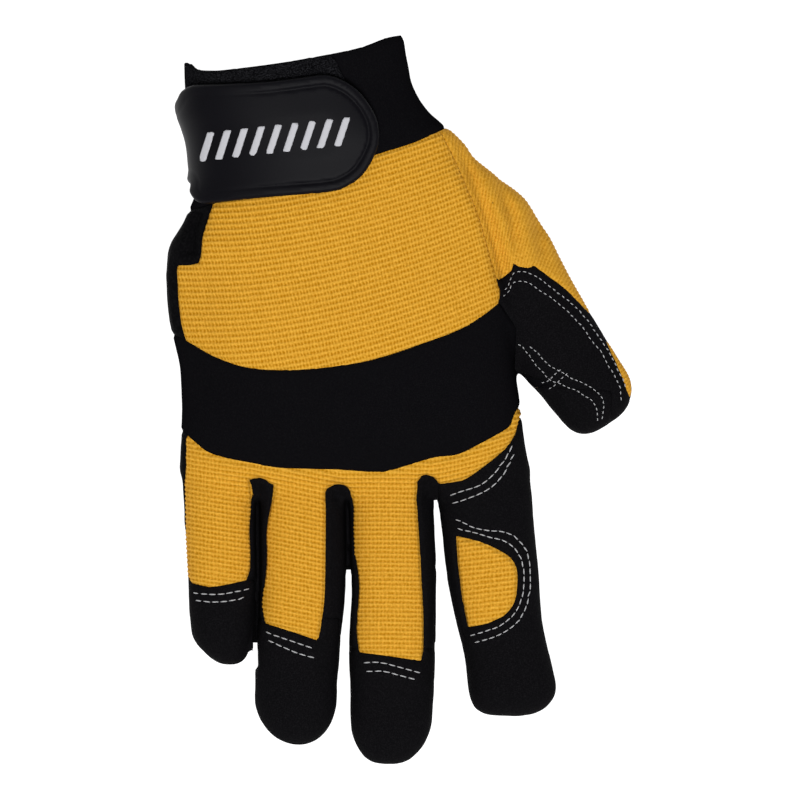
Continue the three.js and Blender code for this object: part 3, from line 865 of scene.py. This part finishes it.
tongues = [
    tongue([(-71.6, -24.0), (-71.0, -45.0), (-70.4, -59.0)],
           [(-69.6, -60.6), (-61.6, -61.7), (-50.2, -59.6)],
           [(-48.9, -56.5), (-48.7, -50.6), (-49.0, -43.0), (-48.4, -33.0), (-49.0, -27.5), (-51.5, -24.0)]),
    tongue([(-40.6, -24.0), (-42.0, -30.0), (-43.6, -37.1), (-44.6, -43.0), (-44.6, -53.6), (-46.0, -67.0),
            (-45.4, -73.0)],
           [(-44.9, -73.8), (-34.5, -76.9), (-26.8, -79.5)],
           [(-26.0, -76.0), (-24.6, -65.4), (-24.2, -47.7), (-24.2, -33.0), (-24.8, -28.0), (-27.5, -24.0)]),
    tongue([(-15.2, -24.0), (-16.5, -29.0), (-15.9, -38.0), (-15.6, -50.0), (-14.1, -60.7), (-15.0, -75.0),
            (-14.2, -83.0)],
           [(-13.6, -83.4), (-2.1, -84.8), (7.4, -86.3)],
           [(8.2, -82.5), (8.2, -71.2), (6.9, -47.7), (5.9, -33.0), (6.0, -28.0), (4.0, -24.0)]),
]
arches = [
    (-71.2, -12.0), (-71.4, -26.0), (-56.0, -27.5), (-51.0, -27.2), (-49.0, -26.6), (-46.5, -26.2),
    (-44.4, -26.9), (-42.4, -28.4), (-34.0, -28.8), (-27.5, -29.4), (-24.2, -29.8), (-23.0, -29.2),
    (-21.2, -28.4), (-19.6, -28.4), (-17.8, -29.0), (-16.8, -30.2), (-6.0, -29.6), (4.0, -28.4),
    (6.0, -27.6), (7.2, -25.4), (8.6, -25.0), (10.6, -25.6), (12.4, -27.6),
]
below_band = rounded(band_low)[::-1]
below_band = [spot for spot in below_band if spot[0] > -71.2]
finger_soup = cut_panel([below_band + arches + rounded(guard_top), *tongues], seam_height)
sewn_piece("finger_knit", "knit", finger_soup, finger_yarn, finger_along, finger_across, **knit_look)

# The tips of the little, ring and middle fingers: caps of black suede, each lapped under the end of
# its finger's knit and sewn there, and joined to the palm at the finger's sides.
tips = {
    "little_tip": [(-82, -59.5), (-47.7, -59.5), (-47.7, -100), (-82, -100)],
    "ring_tip": [(-47.2, -72.0), (-47.2, -79.0), (-48.6, -125), (-19.8, -125), (-19.6, -72.0)],
    "middle_tip": [(-18.2, -82.0), (-18.2, -128), (13.5, -128), (13.2, -82.0)],
}
for name, outline in tips.items():
    sewn_piece(name, "leather", cut_panel([outline], seam_height), suede, **suede_look)

# The knuckle band: a broad curved strip of black neoprene over the knuckles, sewn between the knit
# of the fingers and the knit of the back, and to the palm at both ends.
band_top = [
    (-85.6, 24.9), (-77.4, 22.6), (-70.5, 19.3), (-60.9, 14.0), (-51.0, 10.7), (-39.4, 9.7),
    (-26.2, 10.4), (-9.7, 13.0), (6.8, 18.3), (20.0, 23.3), (28.2, 28.2), (32.8, 31.8),
]
band_right = [(34.0, 31.0), (38.2, 24.0), (38.4, 9.5), (44.0, 7.0), (50.0, 5.1)]
band_soup = cut_panel([rounded(band_top) + band_right + rounded(band_low)[::-1]], seam_height)
band_look = {"turn_depth": 0.6, "crease_height": 0.5, "crease_size": 9.0}
sewn_piece("knuckle_band", "neoprene", band_soup, neoprene, **band_look)

# The back of the hand: yellow knit from the cuff to the knuckle band. Its ribs run across the hand
# and rise to the thumb's side, where a fold joins it to the knit of the thumb.
back_left = [
    (-70.8, 19.4), (-72.4, 25.0), (-73.3, 33.0), (-73.8, 43.0), (-73.4, 44.3), (-70.0, 44.3), (-66.5, 45.0),
    (-65.8, 47.7), (-65.5, 53.0), (-64.2, 57.9), (-61.9, 63.9), (-61.2, 72.0),
]
ridge = [
    (32.8, 31.8), (33.2, 36.5), (29.9, 48.0), (26.6, 59.6), (22.6, 69.5), (18.3, 79.4), (13.7, 88.3),
    (11.4, 93.2),
]
back_slopes = np.interp(
    slope_places, [-72, -57, -44, -24, 8, 20], [-0.02, 0.03, 0.13, 0.23, 0.35, 0.42]
)
back_rise = np.cumsum(back_slopes)
back_pitch = 1.86
back_loop = 1.09


def back_along(points):
    """Loops along the ribs of the back of the hand."""
    return (0.974 * points[..., 0] + 0.225 * points[..., 1]) / back_loop


def back_across(points):
    """Ribs across the back of the hand."""
    return (points[..., 1] - np.interp(points[..., 0], slope_places, back_rise)) / back_pitch


above_band = [spot for spot in rounded(band_top)[::-1] if spot[0] > -70.8]
back_look = {"rib_height": 0.18, "turn_width": 1.4, "crease_height": 0.5, "crease_size": 20.0}
back_outline = back_left + [(-61.2, 110.0), (9.0, 110.0)] + rounded(ridge)[::-1] + above_band
back_soup = cut_panel([back_outline], seam_height)
sewn_piece("back_panel", "knit", back_soup, knit, back_along, back_across, **back_look)

# The back of the thumb: yellow knit whose ribs lean along the thumb. It is sewn to the back of the
# hand along the ridge, and gathered into folds beside the crease.
thumb_edge = [
    (31.0, 38.8), (34.1, 40.3), (35.1, 41.4), (36.6, 42.7), (37.3, 45.0), (39.1, 43.9), (41.7, 43.5),
    (43.1, 43.4), (44.3, 44.4), (46.7, 42.7), (49.6, 40.5), (53.0, 38.2), (55.9, 35.8), (59.5, 32.3),
    (62.2, 29.4), (64.6, 27.0), (67.2, 22.4), (68.4, 19.6), (69.8, 16.6), (71.4, 13.2), (73.2, 9.0),
    (74.6, 5.4), (75.6, 2.4), (77.6, -2.0), (81.0, -7.0),
]
lean = {"x": 2.379, "y": 0.4236, "xx": -0.00995, "xy": -0.0134, "yy": -0.00124}


def thumb_along(points):
    """Loops along the ribs of the thumb."""
    return (0.34 * points[..., 0] + 0.94 * points[..., 1]) / back_loop


def thumb_across(points):
    """Ribs across the thumb."""
    x, y = points[..., 0], points[..., 1]
    return lean["x"] * x + lean["y"] * y + lean["xx"] * x * x + lean["xy"] * x * y + lean["yy"] * y * y


thumb_outline = rounded(ridge)[:-1] + [(11.4, 110), (60, 110), (110, 60), (110, -6)] + thumb_edge[::-1]
thumb_soup = cut_panel([thumb_outline], seam_height)
# Thumb knit with weaker painted shade between its ribs and loops.
thumb_knit = knit_yarn("thumb_knit", 0.34, 0.1, 1.2)
thumb_look = {
    "rib_height": 0.1, "turn_depth": 0.4, "turn_width": 1.4, "crease_height": 0.8, "crease_size": 14.0,
}
sewn_piece("thumb_back", "knit", thumb_soup, thumb_knit, thumb_along, thumb_across, **thumb_look)

# The thumb guard, and the strips that line the fingers' facing sides: black suede, sewn to the palm
# and to the knit of the thumb and fingers.
guard_outline = [*thumb_edge, (90, -40), (50, -40), (50, 4), (37, 8), (30, 20), (28, 36)]
guard_soup = cut_panel([guard_outline], seam_height)
sewn_piece("thumb_guard", "leather", guard_soup, suede, turn_depth=0.45, crease_height=0.4, crease_size=9.0)
strips = {
    "little_ring_strip": [(-56, -20), (-56, -64), (-48.2, -64), (-47.2, -80), (-38, -80), (-38, -20)],
    "ring_middle_strip": [(-28, -20), (-28, -80), (-18.9, -80), (-17.4, -88), (-10, -88), (-10, -20)],
    "middle_index_strip": [(3, -20), (3, -88), (22, -88), (20.5, -20)],
}
for name, outline in strips.items():
    sewn_piece(name, "leather", cut_panel([outline], seam_height), suede, **suede_look)

# The palm: one piece of black synthetic leather under the hand, fingers and thumb. It wraps round
# both sides of the hand, and every other panel is sewn to it.
leather = speckled(
    "leather", (0.0024, 0.0023, 0.0028, 1), (0.0055, 0.0053, 0.006, 1), 0.8, 0.25, 0.75, 0.02
)
sewn_piece("palm", "leather", uncut, leather, turn_depth=0.45, crease_height=0.8, crease_size=8.0)

# The closure's loop strip: black velour with a pile of loops, sewn flat on the cuff along the mouth.
# The wrist tab lies over it and is held by the pile.


def wrist_depth(points):
    """About the distance from the cuff, as if the thumb and fingers weren't there."""
    return limb_depth(limbs[0], points)


def layer_piece(name, material, top_level, low, high, cell, side_of, steps, rise_of, thickness_of):
    """A closed layer over the wrist with its top at a distance from it, inside a border. The
    thickness and the rise of the top above that distance are functions of the points."""
    soup = skin(wrist_depth, low, high, cell, top_level)
    soup, _ = split(soup, side_of(soup))
    for step in steps:
        soup = np.concatenate(split(soup, side_of(soup) - step))
    points, faces = weld(soup)
    ring = open_edges(faces)
    out = outward(points, wrist_depth)
    top = points + rise_of(points)[:, None] * out
    under = points - thickness_of(points)[:, None] * out
    weave = np.zeros(points.shape)
    weave[:, 2] = side_of(points)
    made = closed_panel(name, top, under, faces, ring, weave, out)
    apply_tree(made, sewn, material=material, **{**plain_look, "turn_depth": 0.0})
    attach(made, "root")
    return made


velour = speckled("velour", (0.002, 0.002, 0.0024, 1), (0.022, 0.022, 0.025, 1), 0.36, 0.4, 1.0, 0.0)
loop_outline = [
    (-90, 119.0), (-70.5, 112.4), (-57.6, 111.7), (-32.8, 113.4), (-25.6, 114.3), (-21.3, 111.7),
    (-18.0, 105.1), (-15.7, 95.9), (-90, 90.0),
]
mouth_line = np.array(mouth).T


def loop_side(points):
    """Distance from the border of the loop strip, positive inside it."""
    to_mouth = np.interp(points[..., 0], *mouth_line) - 0.3 - points[..., 1]
    return np.minimum(np.minimum(inside_of(points, loop_outline), to_mouth), points[..., 2] - 33.0)


def loop_rise(points):
    """The pile's height, lower at its border."""
    return np.interp(loop_side(points), [0, 0.4, 0.9], [-0.4, -0.1, 0])


def loop_thickness(points):
    """The strip's thickness, the same all over."""
    return np.full(len(points), 1.2)


loop_patch = layer_piece(
    "loop_patch", velour, top_level=1.5, low=(-78, 84, 24), high=(-10, 122, 56), cell=1.0,
    side_of=loop_side, steps=(0.4, 0.9), rise_of=loop_rise, thickness_of=loop_thickness,
)
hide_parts("loop_patch")

# The wrist tab: moulded black rubber with a rounded rim, a groove inside the rim and a gently domed
# face. It is sewn to the cuff at its root, and its end lies on the loop strip.
rubber = new_material("rubber")
tree = rubber.node_tree
place = add_node(tree, "ShaderNodeTexCoord").outputs["Object"]
grain = add_node(tree, "ShaderNodeTexNoise", {"Vector": place, "Scale": 1600.0, "Detail": 2.0}).outputs[0]
relief = add_node(tree, "ShaderNodeBump", {"Height": grain, "Distance": 0.05 * MM, "Strength": 0.5})
finish_material(rubber, (0.0042, 0.004, 0.0056, 1), 0.5, 0.06, relief.outputs["Normal"])
strap_outline = rounded([
    (-86.0, 95.4), (-77.0, 95.8), (-74.4, 98.6), (-72.6, 101.4), (-69.6, 103.0), (-66.0, 103.3),
    (-57.6, 103.4), (-42.7, 104.2), (-27.0, 106.2), (-23.6, 106.3), (-18.4, 104.6), (-13.8, 101.5),
    (-9.9, 96.9), (-7.3, 91.6), (-6.7, 85.6), (-8.1, 80.5), (-11.9, 74.1), (-17.1, 70.1), (-23.6, 68.1),
    (-43.2, 66.5), (-60.9, 65.0), (-65.6, 64.8), (-68.2, 66.0), (-69.9, 68.6), (-71.2, 72.6),
    (-86.0, 74.5),
])
strap_root = [(-86, 97), (-30, 97), (-30, 74), (-86, 74)]


def strap_side(points):
    """Distance from the border of the strap, positive inside it."""
    tab = np.minimum(inside_of(points, strap_outline), points[..., 2] - 20.0)
    root = np.minimum(inside_of(points, strap_root), 30.0 - points[..., 2])
    return np.maximum(tab, root)


strap_steps = (0.25, 0.6, 1.1, 2.3, 2.8, 3.2, 3.7, 4.2, 5.0)


def strap_rise(points):
    """The tab's top: a rounded border, and a groove inside it that fades to the side of the wrist."""
    side = strap_side(points)
    border = np.interp(side, [0, 0.25, 0.6, 1.1], [-1.1, -0.55, -0.2, 0])
    groove = np.interp(side, [2.3, 2.8, 3.2, 3.7, 4.2, 5.0, 12], [0, -0.2, -0.7, -0.7, -0.3, -0.2, 0.2])
    return border + groove * np.clip((points[..., 0] + 62) / 30, 0.15, 1)


def strap_thickness(points):
    """Thin over the strip of loops, and down to the cuff beside it."""
    return 3.0 + 1.3 * np.clip((33 - points[..., 2]) / 6, 0, 1)


wrist_strap = layer_piece(
    "wrist_strap", rubber, top_level=4.8, low=(-82, 60, -2), high=(0, 112, 56), cell=0.9,
    side_of=strap_side, steps=strap_steps, rise_of=strap_rise, thickness_of=strap_thickness,
)
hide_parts("wrist_strap")

# The bars on the tab: a plain row of pale slanted bars, moulded with it and standing a little above
# its face.
print_color = finish_material(new_material("print"), (0.5, 0.5, 0.53, 1), 0.55, 0.2)
bar_count = 9
bar_width = 2.3
bar_length = 9.5
bar_slant = 3.2
bars = []
for number in range(bar_count):
    x = -66.5 + 5.6 * number
    y = 78.3 + 0.6 * number
    top_x, top_y = x + bar_slant, y + bar_length
    bars.append([(x, y), (x + bar_width, y), (top_x + bar_width, top_y), (top_x, top_y)])


def bar_side(points):
    """Distance from the border of the nearest bar, positive inside it."""
    return np.minimum(np.max([inside_of(points, bar) for bar in bars], axis=0), points[..., 2] - 40.0)


def bar_rise(points):
    """The bars' height, lower at their borders."""
    return np.interp(bar_side(points), [0, 0.3], [-0.15, 0])


def bar_thickness(points):
    """The bars' thickness, the same all over."""
    return np.full(len(points), 1.0)


layer_piece(
    "strap_print", print_color, top_level=5.3, low=(-70, 75, 40), high=(-12, 98, 58), cell=0.9,
    side_of=bar_side, steps=(0.3,), rise_of=bar_rise, thickness_of=bar_thickness,
)

# The stitches: pale grey thread sewn in double rows beside the seams of the guards and tips. Each
# row holds its kind of stitch, with the pitch, length and thread width, and its line from above.
tip_stitch = {"pitch": 2.8, "length": 2.5, "width": 0.44}
guard_stitch = {"pitch": 2.8, "length": 2.6, "width": 0.42}
window_stitch = {"pitch": 2.5, "length": 2.2, "width": 0.42}
thumb_stitch = {"pitch": 1.9, "length": 1.25, "width": 0.32}
thumb_tip_stitch = {"pitch": 1.7, "length": 1.15, "width": 0.32}
stitch_rows = [
    (tip_stitch, [(-68.8, -63.6), (-64.6, -64.0), (-59.1, -64.0), (-53.5, -63.1), (-50.3, -62.4)]),
    (tip_stitch, [(-67.9, -66.1), (-61.8, -66.6), (-55.4, -66.1), (-50.3, -64.7)]),
    (tip_stitch, [(-44.7, -76.3), (-40.5, -77.9), (-35.0, -79.7), (-27.6, -82.3)]),
    (tip_stitch, [(-43.8, -79.1), (-38.7, -81.4), (-33.1, -83.7), (-27.1, -85.3)]),
    (tip_stitch, [(-12.3, -86.7), (-7.2, -86.5), (-1.6, -87.7), (6.2, -89.9)]),
    (tip_stitch, [(-11.4, -89.5), (-5.3, -89.5), (0.2, -90.9), (6.2, -92.5)]),
    (guard_stitch, [
        (16.2, -31.6), (20.6, -30.0), (26.2, -28.1), (30.3, -24.9), (34.0, -20.3), (36.3, -16.1),
        (37.5, -13.6),
    ]),
    (guard_stitch, [
        (16.9, -34.2), (21.5, -32.8), (27.1, -30.5), (30.8, -28.1), (34.0, -24.4), (36.3, -20.3),
        (38.0, -16.6),
    ]),
    (window_stitch, [
        (18.0, -39.3), (20.6, -40.2), (24.3, -42.0), (28.9, -43.0), (33.6, -43.4), (37.3, -44.8),
        (40.1, -47.6), (41.9, -50.8), (42.6, -54.5), (42.8, -58.3), (42.8, -62.0), (42.2, -65.7),
        (41.0, -69.4), (38.7, -73.1), (35.4, -75.9), (30.8, -78.2), (23.8, -80.3),
    ]),
    (window_stitch, [
        (18.7, -42.3), (21.5, -43.0), (25.2, -43.9), (29.9, -45.3), (33.6, -46.2), (36.8, -48.1),
        (39.1, -50.8), (40.2, -53.6), (40.7, -57.3), (40.7, -61.0), (40.2, -64.7), (38.9, -68.4),
        (36.5, -71.7), (32.8, -74.5), (28.0, -76.3), (23.4, -77.7),
    ]),
    (thumb_stitch, [
        (33.4, 33.8), (34.9, 35.0), (36.2, 36.4), (37.1, 38.3), (38.7, 39.1), (40.8, 39.0), (42.9, 38.3),
        (46.1, 36.0), (48.9, 34.3), (51.7, 32.1), (54.6, 29.7), (57.4, 26.8), (59.9, 24.4), (61.6, 21.9),
        (63.8, 18.7), (66.2, 15.9), (67.6, 13.4), (69.1, 10.6), (70.8, 7.8), (72.4, 4.2), (72.8, -0.0),
    ]),
    (thumb_stitch, [
        (34.1, 36.0), (35.5, 37.4), (36.6, 39.9), (37.8, 42.0), (40.4, 42.3), (42.6, 41.7), (45.4, 40.3),
        (47.9, 38.5), (51.0, 36.0), (53.9, 33.8), (57.8, 30.7), (60.6, 27.6), (63.1, 24.4), (65.5, 20.8),
        (67.6, 17.7), (69.8, 14.1), (71.5, 10.6), (73.3, 7.1), (74.4, 3.9),
    ]),
    (thumb_tip_stitch, [
        (42.6, 18.0), (45.4, 15.5), (47.5, 13.1), (49.6, 11.3), (52.1, 9.9), (54.6, 8.5), (56.7, 7.1),
        (59.5, 6.0), (62.3, 4.6), (64.8, 2.8), (66.6, 0.7), (67.2, -2.1), (66.6, -6.4),
    ]),
    (thumb_tip_stitch, [
        (38.7, 18.7), (40.4, 17.5), (42.6, 14.8), (44.7, 12.0), (47.2, 9.2), (49.6, 6.7), (52.5, 5.6),
        (55.3, 4.2), (58.1, 3.2), (60.9, 1.4), (63.1, -0.0), (64.8, -2.8), (65.2, -6.9),
    ]),
    (thumb_tip_stitch, [(46.4, 5.6), (48.9, 6.4), (50.7, 8.1), (52.1, 9.5), (53.3, 10.2)]),
    (thumb_tip_stitch, [(48.9, 3.7), (50.7, 4.6), (52.8, 6.7), (54.9, 8.5)]),
]


def on_top(flat, depth_of, lift=0.0):
    """The points of the skin straight below spots seen from above."""
    heights = np.linspace(56, 4, 105)
    columns = np.repeat(flat[:, None], len(heights), 1)
    grid = np.concatenate([columns, np.tile(heights[:, None], (len(flat), 1, 1))], axis=-1)
    hit = np.argmax(depth_of(grid) < lift, axis=1)
    return settle(grid[np.arange(len(flat)), hit], depth_of, lift, 2)


stitch_tree, given, made_geometry = new_tree("stitches", {"Material": "NodeSocketMaterial"})
ball_size = {"Segments": 8, "Rings": 6, "Radius": 0.5}
ball = add_node(stitch_tree, "GeometryNodeMeshUVSphere", ball_size).outputs[0]
vector = {"data_type": "FLOAT_VECTOR"}
size, run, out = [
    add_node(stitch_tree, "GeometryNodeInputNamedAttribute", {"Name": key}, **vector).outputs[0]
    for key in ("size", "run", "out")
]
turned = add_node(
    stitch_tree, "FunctionNodeAxesToRotation", {0: run, 1: out}, primary_axis="X", secondary_axis="Z"
).outputs[0]
sewn_on = add_node(
    stitch_tree,
    "GeometryNodeInstanceOnPoints",
    {"Points": given["Geometry"], "Instance": ball, "Rotation": turned, "Scale": size},
).outputs[0]
real = add_node(stitch_tree, "GeometryNodeRealizeInstances", {0: sewn_on}).outputs[0]
smooth = add_node(stitch_tree, "GeometryNodeSetShadeSmooth", {0: real}).outputs[0]
dressed = add_node(
    stitch_tree, "GeometryNodeSetMaterial", {"Geometry": smooth, "Material": given["Material"]}
).outputs[0]
stitch_tree.links.new(dressed, made_geometry[0])

thread = finish_material(new_material("thread"), (0.42, 0.42, 0.43, 1), 0.6, 0.3)
stitch_lift = 0.08
stitch_points, stitch_runs, stitch_sizes = [], [], []
for stitch, line in stitch_rows:
    curve = np.array(rounded(line, 12))
    travelled = np.concatenate([[0], np.cumsum(np.linalg.norm(np.diff(curve, axis=0), axis=1))])
    places = np.arange(stitch["pitch"] / 2, travelled[-1], stitch["pitch"])
    spots = [
        np.stack([np.interp(places + step, travelled, curve[:, k]) for k in (0, 1)], axis=-1)
        for step in (-0.4, 0, 0.4)
    ]
    before, here, after = [on_top(spot, hand_depth, stitch_lift) for spot in spots]
    stitch_points.append(here)
    stitch_runs.append(after - before)
    stitch_sizes.append(np.tile([stitch["length"], stitch["width"], stitch["width"]], (len(here), 1)))
stitch_points, stitch_runs = np.concatenate(stitch_points), np.concatenate(stitch_runs)
stitches = mesh_object(
    "stitches",
    stitch_points,
    np.zeros((0, 3), int),
    run=stitch_runs,
    out=outward(stitch_points, hand_depth),
    size=np.concatenate(stitch_sizes) * MM,
)
apply_tree(stitches, stitch_tree, material=thread)
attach(stitches, "root")

scene_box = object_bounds()
boxes = {"cad_box": cad_box, "scene_box": scene_box}
{name: [list(corner) for corner in box] for name, box in boxes.items()}
